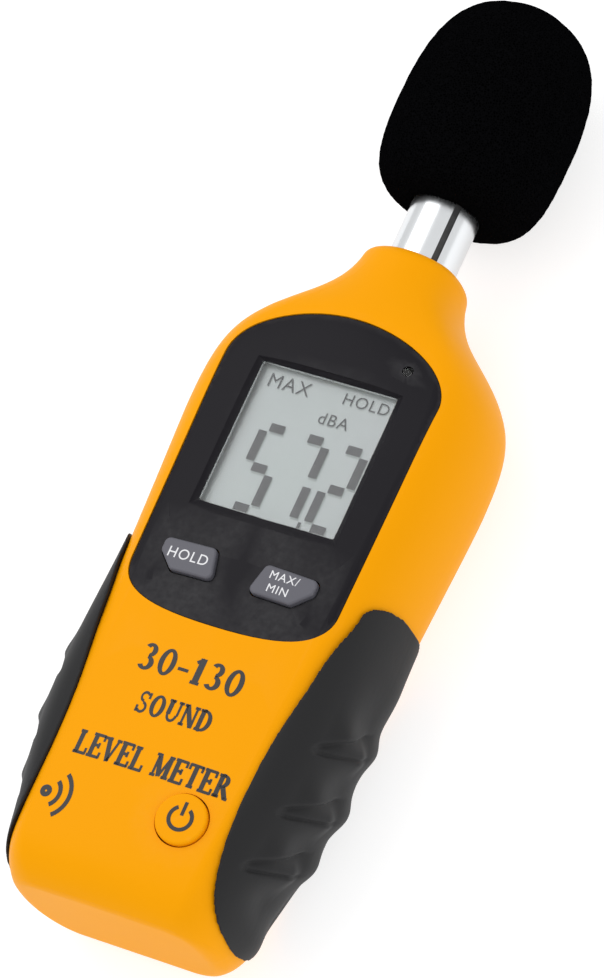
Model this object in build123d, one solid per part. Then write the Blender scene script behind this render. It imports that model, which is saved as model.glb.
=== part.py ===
from build123d import *
import math
import os

# Pocket sound level meter, lying on its back. Millimetres.
# +Z is the way the display faces, +Y points to the microphone, +X is the right-hand side.
# Pieces are drawn with y = 0 at the bottom end of the case and z = 0 on its back, and
# save() moves them so that y = 0 is the middle of the whole length.

# ---- driving dimensions -------------------------------------------------------------
TOTAL_LENGTH = 183.7
NECK_END = 130.4
PARTING_Z = 15.0
WALL_SIDE = 2.2
WALL_FACE = 2.6
WALL_BACK = 2.2
CAVITY_END = 118.0
BOTTOM_FILLET = 3.5
NECK_FILLET = 2.5

# Case sections: y, half width, top, back, half width of the crowned face, half width of the
# flat back, level of the widest point, crown radius of the face.
STATIONS = [
    (0.0, 18.8, 26.0, 4.2, 12.5, 10.0, 15.5, 180.0),
    (1.8, 20.4, 28.8, 2.2, 14.0, 11.5, 15.3, 180.0),
    (5.0, 21.8, 30.9, 0.7, 15.2, 12.7, 15.0, 180.0),
    (10.0, 22.55, 31.72, 0.1, 16.0, 13.5, 14.5, 180.0),
    (30.0, 24.3, 32.0, -0.05, 17.2, 14.5, 14.0, 180.0),
    (45.0, 25.3, 32.0, -0.05, 17.8, 15.0, 14.0, 180.0),
    (60.0, 26.2, 32.0, -0.05, 18.4, 15.5, 14.0, 180.0),
    (84.0, 27.6, 32.0, -0.05, 19.2, 16.5, 14.0, 180.0),
    (98.0, 27.9, 32.0, 0.0, 19.4, 16.0, 14.0, 180.0),
    (107.5, 25.9, 31.8, 0.3, 17.6, 13.0, 14.5, 110.0),
    (114.0, 20.7, 30.9, 1.5, 13.4, 9.0, 15.5, 55.0),
    (120.0, 14.0, 29.0, 4.0, 8.0, 5.4, 16.3, 24.0),
    (125.0, 10.6, 27.6, 6.0, 5.6, 3.7, 16.6, 13.0),
    (NECK_END, 9.4, 26.7, 6.9, 4.9, 3.3, 16.8, 11.0),
]
DOME_END = 10.0
SHOULDER_PULL = 0.60
BACK_PULL = 0.58

# Side grips, which stand in a shallow seat and bulge past the case
GRIP_SEAT = 1.2
GRIP_RISE = 0.4
GRIP_BULGE = {0.0: 0.2, 1.8: 0.35, 5.0: 0.7, 10.0: 1.1, 30.0: 3.4, 45.0: 2.9, 60.0: 1.2}
GRIP_GAP = 0.12
GRIP_EDGE = [
    (21.6, 1.6), (20.2, 6.0), (19.3, 11.0), (18.6, 19.0), (18.6, 29.0),
    (19.4, 38.0), (20.9, 47.5), (21.8, 54.0), (23.1, 60.5),
]
GRIP_TOP = (26.6, 66.6)
GRIP_OUTSIDE = 34.0

# Display bezel and window
BEZEL_HALF_TOP = 20.9
BEZEL_HALF_BOTTOM = 20.2
BEZEL_SINK = 0.25
BEZEL_DEPTH = 1.5
BEZEL_GAP = 0.2
WINDOW_Y = 87.1
WINDOW_RIM_Y = 86.5
WINDOW_OUTER = (30.0, 30.6)
WINDOW_INNER = (26.8, 27.9)
WINDOW_TOP = 30.5
WINDOW_FLANGE = (28.8, 30.0)
SENSOR_XY = (13.0, 106.2)
SENSOR_RADIUS = 0.9

# Keys
KEY_OUTLINE = [(4.9, 64.9), (15.0, 64.7), (15.0, 62.1), (11.8, 59.0), (3.4, 59.1)]
KEY_CORNER = 1.1
KEY_RISE = 0.8
KEY_CENTRE = (9.3, 61.9)
KEY_GAP = 0.25
POWER_CENTRE = (10.2, 17.5)
POWER_RADIUS = 4.6
POWER_RISE = 0.9
FLANGE_TOP = 28.1
FLANGE_BOTTOM = 27.2
STEM_BOTTOM = 26.4
STEM_RADIUS = 2.2
PLUNGER_RADIUS = 1.7

# Circuit board
PCB_BOTTOM = 20.0
PCB_TOP = 21.6

# Microphone
MIC_Z = 16.8
TUBE_RADIUS = 6.35
TUBE_WALL = 0.6
TUBE_START = 117.0
TUBE_END = 157.0
GRID_END = 159.6
HOLDER_RADIUS = 7.2
LINER_RADIUS = 5.7
CAPSULE_RADIUS = 4.85
CAPSULE_START = 152.0
SLOT_WIDTH = 1.2
SLOT_ANGLE = 40.0
SCREEN_START = 142.0
SCREEN_RADIUS = 16.7
SCREEN_WIDEST = 160.2
SCREEN_BORE = TUBE_RADIUS + 0.08
SCREEN_BORE_END = 160.2

# Battery bay for three AAA cells
BAY_HALF = 17.2
BAY_START = 9.3
BAY_END = 59.6
BAY_ROOF = 13.5
BAY_WALL = 1.2
COVER_GAP = 0.2
CELL_RADIUS = 5.2
CELL_LENGTH = 44.5
CELL_Z = 8.1
CELL_PITCH = 11.0
NUB_RADIUS = 1.9
NUB_LENGTH = 0.8
PLATE = 0.3

# Screws and the tripod insert
CASE_SCREWS = [(-19.0, 67.0), (19.0, 67.0), (-11.5, 113.0), (11.5, 113.0)]
PCB_SCREWS = [(-15.5, 28.0), (15.5, 28.0), (-15.5, 52.0), (15.5, 52.0)]
TRIPOD_Y = 88.0
TRIPOD_HOLE = 2.55


# ---- helpers ------------------------------------------------------------------------
def save(name, shape):
    """Write one node, moved to the part's own frame."""
    placed = Pos(0, -TOTAL_LENGTH / 2, 0) * shape
    placed.label = name
    export_step(placed, os.path.join("parts", name + ".step"))


def block(x0, x1, y0, y1, z0, z1):
    """Box between two corners."""
    return Pos((x0 + x1) / 2, (y0 + y1) / 2, (z0 + z1) / 2) * Box(x1 - x0, y1 - y0, z1 - z0)


def post(x, y, z0, z1, radius):
    """Upright cylinder."""
    return Pos(x, y, (z0 + z1) / 2) * Cylinder(radius, z1 - z0)


def rod(x, z, y0, y1, radius):
    """Cylinder along the length of the meter."""
    return Pos(x, (y0 + y1) / 2, z) * Rot(90, 0, 0) * Cylinder(radius, y1 - y0)


def prism(face, z0, z1):
    """Upright prism of a flat outline drawn in the XY plane."""
    return Pos(0, 0, z0) * extrude(face, z1 - z0)


def rounded_box(size_x, size_y, z0, z1, centre_y, corner):
    """Box with rounded upright edges, centred on x = 0."""
    outline = Pos(0, centre_y) * RectangleRounded(size_x, size_y, corner)
    return prism(outline, z0, z1)


# ---- case form ----------------------------------------------------------------------
def section(station, side, face, back):
    """Closed wire of one case section, grown or shrunk on its side, face and back."""
    y, half, top, bottom, crown_half, flat_half, middle, crown = station
    half += side
    top += face
    bottom -= back
    crown += face
    crown_half += side * 0.5
    flat_half += side * 0.4
    crown_end = top - (crown - math.sqrt(crown ** 2 - crown_half ** 2))
    slope = crown_half / math.sqrt(crown ** 2 - crown_half ** 2)
    reach = SHOULDER_PULL * (half - crown_half)

    def at(x, z):
        return Vector(x, y, z)

    def shoulder(sign):
        return Bezier(
            at(sign * crown_half, crown_end),
            at(sign * (crown_half + reach), crown_end - reach * slope),
            at(sign * half, middle + SHOULDER_PULL * (crown_end - middle)),
            at(sign * half, middle),
        )

    def back_corner(sign):
        return Bezier(
            at(sign * half, middle),
            at(sign * half, middle - BACK_PULL * (middle - bottom)),
            at(sign * (flat_half + BACK_PULL * (half - flat_half)), bottom),
            at(sign * flat_half, bottom),
        )

    crown_arc = ThreePointArc(at(-crown_half, crown_end), at(0, top), at(crown_half, crown_end))
    flat = Line(at(flat_half, bottom), at(-flat_half, bottom))
    return Wire([crown_arc, shoulder(1), back_corner(1), flat, back_corner(-1), shoulder(-1)])


def case_form(side=0.0, face=0.0, back=0.0, fillets=True):
    """The case's outer form as one solid, grown or shrunk; its domed bottom end moves too."""
    stations = [(y - side * max(0.0, 1.0 - y / DOME_END), *rest) for y, *rest in STATIONS]
    form = Solid.make_loft([section(s, side, face, back) for s in stations])
    if fillets:
        bottom_edges = form.faces().sort_by(Axis.Y)[0].edges()
        form = form.fillet(BOTTOM_FILLET + side, bottom_edges)
        neck_edges = form.faces().sort_by(Axis.Y)[-1].edges()
        form = form.fillet(NECK_FILLET, neck_edges)
    return form


def bulged_form():
    """The case's form with its sides swollen where the grips are."""
    form = Solid.make_loft([section(s, GRIP_BULGE.get(s[0], 0.0), GRIP_RISE, 0.0) for s in STATIONS])
    return form.fillet(BOTTOM_FILLET, form.faces().sort_by(Axis.Y)[0].edges())


def grip_outline(gap):
    """Plan of the right-hand grip, from its curved inner edge to outside the case."""
    edge = [(x + gap, y) for x, y in GRIP_EDGE]
    top = (GRIP_TOP[0], GRIP_TOP[1] - gap)
    low = (edge[0][0], edge[0][1])
    inner = Spline(*edge, top, tangents=((-0.35, 0.95), (0.8, 0.6)))
    rest = Polyline(top, (GRIP_OUTSIDE, top[1]), (GRIP_OUTSIDE, low[1]), low)
    return make_face([inner, *rest.edges()])


def bezel_outline(gap=0.0):
    """Outline of the dark display panel, arched at both ends, grown by a gap."""
    edges = []
    up = 112.7 + gap
    low = 51.7 - gap
    for sign in (-1, 1):
        top_corner = (sign * (BEZEL_HALF_TOP + gap), 101.0)
        low_corner = (sign * (BEZEL_HALF_BOTTOM + gap), 60.0)
        edges += [
            Bezier(top_corner, (sign * (21.0 + gap), 107.3), (sign * 11.5, up), (0, up)),
            Bezier(low_corner, (sign * (20.0 + gap), 53.6), (sign * 13.0, low), (0, low)),
            Line(low_corner, top_corner),
        ]
    return make_face(edges)


def key_outline(sign, grow):
    """Five-sided outline of a key, sign 1 for the right-hand one."""
    points = [(sign * x, y) for x, y in KEY_OUTLINE]
    face = make_face(Polyline(*points, close=True))
    face = fillet(face.vertices(), KEY_CORNER)
    if grow:
        face = offset(face, amount=grow)
    return face


# The back is cut flat where it lies on a table
outer = case_form() - block(-40, 40, -10, 140, -5, 0)
cavity = case_form(-WALL_SIDE, -WALL_FACE, -WALL_BACK, fillets=False) & block(
    -40, 40, -5, CAVITY_END, -5, 40
)
grip_seat = case_form(-GRIP_SEAT, -GRIP_SEAT, -GRIP_SEAT)


# ---- side grips ---------------------------------------------------------------------
grip_right = bulged_form() & prism(grip_outline(GRIP_GAP), -1, 40)
grip_right = grip_right - case_form(GRIP_GAP - GRIP_SEAT, GRIP_GAP - GRIP_SEAT, GRIP_GAP - GRIP_SEAT)
grip_left = mirror(grip_right, about=Plane.YZ)

seat_right = prism(grip_outline(0.0), -1, 40) - grip_seat
seat_left = mirror(seat_right, about=Plane.YZ)
case_solid = outer - seat_right - seat_left

# ---- case shells --------------------------------------------------------------------
shell = case_solid - cavity
shell = shell - rod(0, MIC_Z, CAVITY_END - 1, NECK_END + 1, HOLDER_RADIUS)
front_case = shell & block(-40, 40, -5, 140, PARTING_Z, 40)
rear_case = shell & block(-40, 40, -5, 140, -5, PARTING_Z)

# Front shell: recess for the bezel, and its openings
bezel_floor = Pos(0, 0, -BEZEL_DEPTH) * outer
bezel_top = Pos(0, 0, -BEZEL_SINK) * outer
front_case = front_case - (prism(bezel_outline(BEZEL_GAP), 25, 40) - bezel_floor)
front_case = front_case - rounded_box(
    WINDOW_FLANGE[0] + 0.6, WINDOW_FLANGE[1] + 0.6, 25, 40, WINDOW_Y, 0.6
)
for side in (-1, 1):
    front_case = front_case - prism(key_outline(side, KEY_GAP), 25, 40)
front_case = front_case - post(*POWER_CENTRE, 25, 40, POWER_RADIUS + KEY_GAP)
front_case = front_case - post(*SENSOR_XY, 25, 40, SENSOR_RADIUS + 0.4)

# Front shell: screw bosses and board posts, kept inside the outer form
face_inner = Pos(0, 0, -BEZEL_DEPTH - 0.5) * outer
for x, y in CASE_SCREWS:
    boss = post(x, y, PARTING_Z, 31, 3.1) & face_inner
    front_case = front_case + (boss - post(x, y, 0, 26, 1.25))
for x, y in PCB_SCREWS:
    boss = post(x, y, PCB_TOP, 31, 2.2) & face_inner
    front_case = front_case + (boss - post(x, y, 15, 26, 0.8))

# Rear shell: bosses, battery bay and tripod boss
for x, y in CASE_SCREWS:
    boss = post(x, y, 0, PARTING_Z, 3.4) & outer
    rear_case = rear_case + boss
bay_shell = block(
    -BAY_HALF - BAY_WALL, BAY_HALF + BAY_WALL, BAY_START - BAY_WALL, BAY_END + BAY_WALL,
    0.4, BAY_ROOF + BAY_WALL,
) & case_solid
rear_case = rear_case + bay_shell
rear_case = rear_case + post(0, TRIPOD_Y, 0.5, 9.8, 6.4)
rear_case = rear_case - block(-BAY_HALF, BAY_HALF, BAY_START, BAY_END, -5, BAY_ROOF)
rear_case = rear_case - post(0, TRIPOD_Y, -1, 8.4, 4.45)
for x, y in CASE_SCREWS:
    rear_case = rear_case - post(x, y, -1, 4.0, 2.9) - post(x, y, -1, 20, 1.6)
for x in (-CELL_PITCH, CELL_PITCH):
    rear_case = rear_case - block(x - 1.3, x + 1.3, 59.0, 59.8, 10, 18)

# ---- display ------------------------------------------------------------------------
bezel = (prism(bezel_outline(), 25, 40) & bezel_top) - Pos(0, 0, 0.04) * bezel_floor
frustum = Solid.make_loft([
    (Pos(0, WINDOW_Y, 30.5) * Rectangle(*WINDOW_INNER)).wire(),
    (Pos(0, WINDOW_RIM_Y, 31.5) * Rectangle(*WINDOW_OUTER)).wire(),
])
window_top = block(
    -WINDOW_OUTER[0] / 2, WINDOW_OUTER[0] / 2,
    WINDOW_RIM_Y - WINDOW_OUTER[1] / 2, WINDOW_RIM_Y + WINDOW_OUTER[1] / 2, 31.5, 33,
)
bezel = bezel - frustum - window_top
bezel = bezel - rounded_box(*WINDOW_INNER, 25, 33, WINDOW_Y, 0.4)
for side in (-1, 1):
    bezel = bezel - prism(key_outline(side, KEY_GAP), 25, 40)
bezel = bezel - post(*SENSOR_XY, 25, 40, SENSOR_RADIUS + 0.1)

window = rounded_box(WINDOW_INNER[0] - 0.2, WINDOW_INNER[1] - 0.2, 29.5, WINDOW_TOP, WINDOW_Y, 0.4)
window = window + rounded_box(*WINDOW_FLANGE, 28.8, 29.6, WINDOW_Y, 0.5)

lcd_panel = block(-14.6, 14.6, 71.2, 102.4, 26.4, 28.5)
backlight = block(-14.2, 14.2, 74.6, 98.9, 22.4, 26.3)
lcd_frame = block(-16.2, 16.2, 69.6, 103.8, PCB_TOP, 28.0)
lcd_frame = lcd_frame - block(-14.8, 14.8, 71.0, 102.6, 20, 30)
zebra_strips = Compound([
    block(-13.0, 13.0, 71.6, 73.8, PCB_TOP, 26.4),
    block(-13.0, 13.0, 99.8, 102.0, PCB_TOP, 26.4),
])

# ---- keys ---------------------------------------------------------------------------
key_top = Pos(0, 0, KEY_RISE) * outer


def top_key(side):
    """HOLD or MAX/MIN key: cap, hidden flange and the stem that meets its switch."""
    cap = prism(key_outline(side, 0), FLANGE_TOP - 0.5, 40) & key_top
    upper = [e for e in cap.edges() if e.center().Z > 31.0 and abs(e.tangent_at(0.5).Z) < 0.5]
    cap = fillet(upper, 0.45)
    flange = prism(key_outline(side, 0.8), FLANGE_BOTTOM, FLANGE_TOP)
    stem = post(side * KEY_CENTRE[0], KEY_CENTRE[1], STEM_BOTTOM, FLANGE_TOP, STEM_RADIUS)
    return cap + flange + stem


hold_button = top_key(-1)
max_min_button = top_key(1)
power_top = Pos(0, 0, POWER_RISE) * outer
power_cap = post(*POWER_CENTRE, FLANGE_TOP - 0.5, 40, POWER_RADIUS) & power_top
power_rim = [e for e in power_cap.edges() if e.center().Z > 31.0]
power_button = fillet(power_rim, 0.5)
power_button = power_button + post(*POWER_CENTRE, FLANGE_BOTTOM, FLANGE_TOP, POWER_RADIUS + 0.9)
power_button = power_button + post(*POWER_CENTRE, STEM_BOTTOM, FLANGE_TOP, STEM_RADIUS)

SWITCHES = {
    "hold_plunger": (-KEY_CENTRE[0], KEY_CENTRE[1]),
    "max_min_plunger": KEY_CENTRE,
    "power_plunger": POWER_CENTRE,
}
tact_switches = Compound([
    block(x - 3, x + 3, y - 3, y + 3, PCB_TOP, 25.2) - post(x, y, 22.4, 30, PLUNGER_RADIUS + 0.08)
    for x, y in SWITCHES.values()
])

# ---- circuit board ------------------------------------------------------------------
board = block(-18.5, 18.5, 12.0, 100.0, PCB_BOTTOM, PCB_TOP)
board = board + block(-15.0, 15.0, 99.0, 108.4, PCB_BOTTOM, PCB_TOP)
board = board + block(-7.0, 7.0, 108.0, 115.6, PCB_BOTTOM, PCB_TOP)
for x, y in CASE_SCREWS[:2]:
    board = board - post(x, y, 15, 25, 3.8)
for x, y in PCB_SCREWS:
    board = board - post(x, y, 15, 25, 1.1)

microcontroller = block(-7, 7, 74, 88, 18.5, PCB_BOTTOM)
preamp_chip = block(-2.5, 2.5, 96, 100, 18.4, PCB_BOTTOM)
capacitors = Compound([post(x, 100.0, 13.0, PCB_BOTTOM, 2.5) for x in (-9.5, 9.5)])
trimmer = block(7.8, 14.0, 86.0, 92.2, 15.8, PCB_BOTTOM)
crystal = block(-14.5, -10.5, 79.0, 89.0, 16.6, PCB_BOTTOM)
light_sensor = block(
    SENSOR_XY[0] - 1.0, SENSOR_XY[0] + 1.0, SENSOR_XY[1] - 0.8, SENSOR_XY[1] + 0.8, PCB_TOP, 22.5
)
light_pipe = post(*SENSOR_XY, 22.9, 33, SENSOR_RADIUS) & (Pos(0, 0, -0.5) * outer)

# ---- microphone ---------------------------------------------------------------------
mic_holder = rod(0, MIC_Z, 118.6, NECK_END - 0.3, HOLDER_RADIUS - 0.03)
mic_holder = mic_holder - rod(0, MIC_Z, 110, 140, TUBE_RADIUS + 0.02)
mic_tube = rod(0, MIC_Z, TUBE_START, TUBE_END, TUBE_RADIUS)
mic_tube = mic_tube - rod(0, MIC_Z, TUBE_START - 1, TUBE_END + 1, TUBE_RADIUS - TUBE_WALL)
slot = block(-SLOT_WIDTH / 2, SLOT_WIDTH / 2, 128.0, 150.0, 4.0, 9.0)
mic_tube = mic_tube - Pos(0, 0, MIC_Z) * Rot(0, SLOT_ANGLE, 0) * slot
mic_liner = rod(0, MIC_Z, TUBE_START + 1, TUBE_END, LINER_RADIUS)
mic_liner = mic_liner - rod(0, MIC_Z, TUBE_START, TUBE_END + 1, CAPSULE_RADIUS + 0.03)
mic_capsule = rod(0, MIC_Z, CAPSULE_START, TUBE_END - 0.2, CAPSULE_RADIUS)
mic_grid = rod(0, MIC_Z, TUBE_END, GRID_END, TUBE_RADIUS)
mic_grid = mic_grid - rod(0, MIC_Z, TUBE_END - 1, GRID_END - 0.7, TUBE_RADIUS - 0.8)
for turn in range(8):
    angle = math.radians(45 * turn)
    hole_x = 3.4 * math.cos(angle)
    hole_z = MIC_Z + 3.4 * math.sin(angle)
    mic_grid = mic_grid - rod(hole_x, hole_z, GRID_END - 2, GRID_END + 1, 0.75)
mic_grid = mic_grid - rod(0, MIC_Z, GRID_END - 2, GRID_END + 1, 0.75)

screen_foot = [(7.5, SCREEN_START), (15.8, SCREEN_START), (SCREEN_RADIUS, 149.2)]
screen_crown = [(SCREEN_RADIUS, 174.5), (13.4, TOTAL_LENGTH), (0, TOTAL_LENGTH)]
screen_profile = make_face([
    Line((0, SCREEN_START), screen_foot[0]),
    Bezier(*screen_foot, (SCREEN_RADIUS, SCREEN_WIDEST)),
    Bezier((SCREEN_RADIUS, SCREEN_WIDEST), *screen_crown),
    Line(screen_crown[-1], (0, SCREEN_START)),
])
windscreen = Pos(0, 0, MIC_Z) * revolve(screen_profile, axis=Axis.Y)
windscreen = windscreen - rod(0, MIC_Z, SCREEN_START - 1, SCREEN_BORE_END, SCREEN_BORE)


def lead(points, radius, bend):
    """Insulated wire along straight runs joined by arcs."""
    path = FilletPolyline(*points, radius=bend)
    start = Plane(origin=path @ 0, z_dir=path % 0)
    return sweep(start * Circle(radius), path=path)


mic_leads = Compound([
    lead([(x, CAPSULE_START - 0.05, MIC_Z), (x, 111.0, MIC_Z), (x, 111.0, PCB_BOTTOM - 0.05)], 0.45, 1.6)
    for x in (-1.2, 1.2)
])

# ---- battery bay --------------------------------------------------------------------
cover_prism = block(
    -BAY_HALF + COVER_GAP, BAY_HALF - COVER_GAP, BAY_START + COVER_GAP, BAY_END - COVER_GAP, -2, 6
)
battery_cover = (outer & cover_prism) & block(-40, 40, 0, 80, -2, 2.1)
for x in (-CELL_PITCH / 2, CELL_PITCH / 2):
    tongue = block(x - 1.2, x + 1.2, BAY_START - 1.4, BAY_START + 2.0, WALL_BACK + 0.15, 3.3)
    root = block(x - 1.2, x + 1.2, BAY_START + COVER_GAP, BAY_START + 2.0, 1.0, 3.3)
    battery_cover = battery_cover + tongue + root
    rear_case = rear_case - block(x - 1.6, x + 1.6, BAY_START - 1.8, BAY_START + 0.5, WALL_BACK, 4.6)
    latch = block(x - 1.0, x + 1.0, BAY_END - 1.7, BAY_END - 0.4, 1.0, 3.5)
    battery_cover = battery_cover + latch
cover_pad = block(-14.0, 14.0, 24.0, 46.0, 2.1, 2.85)


def cell(x, sign):
    """One AAA cell with its nub at the +Y end for sign 1."""
    middle = (BAY_START + BAY_END) / 2
    contact = BAY_END - PLATE if sign > 0 else BAY_START + PLATE
    can = rod(x, CELL_Z, *sorted((contact - sign * NUB_LENGTH, contact - sign * CELL_LENGTH)), CELL_RADIUS)
    nub = rod(x, CELL_Z, *sorted((contact, contact - sign * NUB_LENGTH)), NUB_RADIUS)
    return can + nub


CELLS = [(-CELL_PITCH, -1), (0.0, 1), (CELL_PITCH, -1)]
batteries = Compound([cell(x, sign) for x, sign in CELLS])


def battery_spring(x, sign):
    """Coil spring between a cell's flat end and its contact plate."""
    contact = BAY_END - PLATE if sign > 0 else BAY_START + PLATE
    flat_end = contact - sign * CELL_LENGTH
    wall = BAY_START + PLATE if sign > 0 else BAY_END - PLATE
    low, high = sorted((flat_end, wall))
    wire = 0.3
    height = high - low - 2 * wire - 0.1
    coil = Helix(pitch=height / 4, height=height, radius=2.6)
    start = Plane(origin=coil @ 0, z_dir=coil % 0)
    spring = sweep(start * Circle(wire), path=coil)
    return Pos(x, high - wire - 0.05, CELL_Z) * Rot(90, 0, 0) * spring


battery_springs = Compound([battery_spring(x, sign) for x, sign in CELLS])


def plate(x0, x1, y0, tab):
    """Contact plate, with a solder tab through the bay's roof if tab is set."""
    sheet = block(x0, x1, y0, y0 + PLATE, 3.6, 12.6)
    if tab is not None:
        sheet = sheet + block(tab - 1.0, tab + 1.0, y0, y0 + PLATE, 12.0, 17.0)
    return sheet


contact_plates = Compound([
    plate(-15.5, 4.0, BAY_START, None),
    plate(7.5, 15.5, BAY_START, None),
    plate(-15.5, -7.5, BAY_END - PLATE, -CELL_PITCH),
    plate(-4.0, 15.5, BAY_END - PLATE, CELL_PITCH),
])


def battery_lead(x):
    """Lead from a solder tab to the underside of the board."""
    tab_y = BAY_END - PLATE / 2
    route = [(x, tab_y, 17.05), (x, tab_y, 18.4), (x, 50.5, 18.4), (x, 50.5, PCB_BOTTOM - 0.05)]
    return lead(route, 0.5, 0.9)


# ---- fasteners ----------------------------------------------------------------------
def case_screw(x, y):
    """Self-tapping pan-head screw with a cross recess, driven from the back."""
    screw = post(x, y, 2.0, 4.0, 2.6) + post(x, y, 4.0, 24.5, 1.2)
    cross = block(x - 1.4, x + 1.4, y - 0.35, y + 0.35, 1.0, 3.0)
    cross = cross + block(x - 0.35, x + 0.35, y - 1.4, y + 1.4, 1.0, 3.0)
    return screw - cross


def pcb_screw(x, y):
    """Small pan-head screw that holds the board to a front-case post."""
    return post(x, y, 18.7, PCB_BOTTOM, 1.8) + post(x, y, PCB_BOTTOM, 25.4, 0.75)


case_screws = Compound([case_screw(x, y) for x, y in CASE_SCREWS])
pcb_screws = Compound([pcb_screw(x, y) for x, y in PCB_SCREWS])
tripod_insert = post(0, TRIPOD_Y, 0.3, 8.35, 4.42) - post(0, TRIPOD_Y, -1, 7.3, TRIPOD_HOLE)

# ---- output -------------------------------------------------------------------------
NODES = {
    "front_case": front_case,
    "rear_case": rear_case,
    "grip_left": grip_left,
    "grip_right": grip_right,
    "display_bezel": bezel,
    "display_window": window,
    "lcd_panel": lcd_panel,
    "lcd_backlight": backlight,
    "lcd_frame": lcd_frame,
    "zebra_strips": zebra_strips,
    "main_board": board,
    "microcontroller": microcontroller,
    "preamp_chip": preamp_chip,
    "electrolytic_capacitors": capacitors,
    "calibration_trimmer": trimmer,
    "crystal": crystal,
    "light_sensor": light_sensor,
    "light_pipe": light_pipe,
    "tact_switches": tact_switches,
    "hold_button": hold_button,
    "max_min_button": max_min_button,
    "power_button": power_button,
    "mic_holder": mic_holder,
    "mic_tube": mic_tube,
    "mic_liner": mic_liner,
    "mic_capsule": mic_capsule,
    "mic_grid": mic_grid,
    "mic_leads": mic_leads,
    "windscreen": windscreen,
    "battery_cover": battery_cover,
    "cover_pad": cover_pad,
    "batteries": batteries,
    "battery_springs": battery_springs,
    "contact_plates": contact_plates,
    "battery_lead_red": battery_lead(CELL_PITCH),
    "battery_lead_black": battery_lead(-CELL_PITCH),
    "case_screws": case_screws,
    "pcb_screws": pcb_screws,
    "tripod_insert": tripod_insert,
}
for plunger, (x, y) in SWITCHES.items():
    NODES[plunger] = post(x, y, 23.4, STEM_BOTTOM, PLUNGER_RADIUS)

for node, solid in NODES.items():
    save(node, solid)
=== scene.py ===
import math

import bmesh
import bpy
from bpy.props import FloatProperty, FloatVectorProperty, PointerProperty, StringProperty
from bpy.types import Operator, Panel, PropertyGroup
from mathutils import Matrix, Vector, noise
from mathutils.bvhtree import BVHTree


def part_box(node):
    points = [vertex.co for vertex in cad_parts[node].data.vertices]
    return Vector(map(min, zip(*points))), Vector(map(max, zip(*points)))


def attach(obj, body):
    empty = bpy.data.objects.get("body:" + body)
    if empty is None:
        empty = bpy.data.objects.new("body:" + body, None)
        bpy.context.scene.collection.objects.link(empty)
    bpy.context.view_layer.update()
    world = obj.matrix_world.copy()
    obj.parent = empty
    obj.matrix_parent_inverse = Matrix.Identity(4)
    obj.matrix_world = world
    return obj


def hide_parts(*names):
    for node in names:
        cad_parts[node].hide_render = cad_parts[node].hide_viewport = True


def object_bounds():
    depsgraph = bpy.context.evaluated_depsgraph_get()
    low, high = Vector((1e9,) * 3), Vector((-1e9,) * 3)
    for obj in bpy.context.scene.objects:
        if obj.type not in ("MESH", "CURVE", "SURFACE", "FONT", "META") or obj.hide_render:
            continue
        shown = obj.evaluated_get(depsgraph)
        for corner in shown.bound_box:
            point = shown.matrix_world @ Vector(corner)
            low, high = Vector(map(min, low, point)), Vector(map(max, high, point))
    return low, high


bl_info = {
    "name": "Sound Level Meter",
    "version": (1, 0, 0),
    "blender": (4, 5, 0),
    "location": "3D Viewport > Sidebar > Meter",
    "description": "Finishes a pocket sound level meter: grips, foam, display, printing and finishes",
    "category": "Object",
}

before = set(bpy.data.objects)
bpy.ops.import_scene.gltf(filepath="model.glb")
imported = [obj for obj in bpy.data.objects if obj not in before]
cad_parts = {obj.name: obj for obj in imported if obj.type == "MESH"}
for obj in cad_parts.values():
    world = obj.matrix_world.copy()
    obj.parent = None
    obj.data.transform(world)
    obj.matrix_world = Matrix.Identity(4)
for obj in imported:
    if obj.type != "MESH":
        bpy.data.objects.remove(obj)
CAD_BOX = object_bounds()

# ---- places taken from the frame -------------------------------------------------------
MM = 0.001
CASE_LOW, CASE_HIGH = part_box("front_case")
BOTTOM_END = CASE_LOW[1]
FOAM_LOW, FOAM_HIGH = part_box("windscreen")
TUBE_LOW, TUBE_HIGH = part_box("mic_tube")
LCD_LOW, LCD_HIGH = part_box("lcd_panel")
PAD_LOW, PAD_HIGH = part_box("cover_pad")
POWER_LOW, POWER_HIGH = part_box("power_button")
HOLD_LOW, HOLD_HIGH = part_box("hold_button")
MAX_LOW, MAX_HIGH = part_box("max_min_button")
MIC_AXIS_Z = (TUBE_LOW[2] + TUBE_HIGH[2]) / 2
ABOVE_ALL = CAD_BOX[1][2] + 0.02
DOWN = Vector((0.0, 0.0, -1.0))


def along(y_mm):
    """Row-frame Y of a point this many millimetres from the case's bottom end."""
    return BOTTOM_END + y_mm * MM


def middle(low, high):
    """Centre of a box."""
    return (Vector(low) + Vector(high)) / 2


# ---- settings --------------------------------------------------------------------------
class MeterStageSettings(PropertyGroup):
    floor_colour: FloatVectorProperty(
        name="Floor", description="Colour of the plain floor",
        subtype="COLOR", size=3, min=0.0, max=1.0, default=(0.45, 0.45, 0.45))
    floor_glow: FloatProperty(
        name="Floor glow", description="Light that the floor gives off itself", default=0.72, min=0.0)
    sky_strength: FloatProperty(
        name="Sky", description="Strength of the even light from all round", default=0.80, min=0.0)
    key_power: FloatProperty(
        name="Key lamp", description="Power of the large soft lamp", default=4.0, min=0.0, unit="POWER")
    fill_power: FloatProperty(
        name="Fill lamp", description="Power of the fill lamp", default=1.0, min=0.0, unit="POWER")


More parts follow.
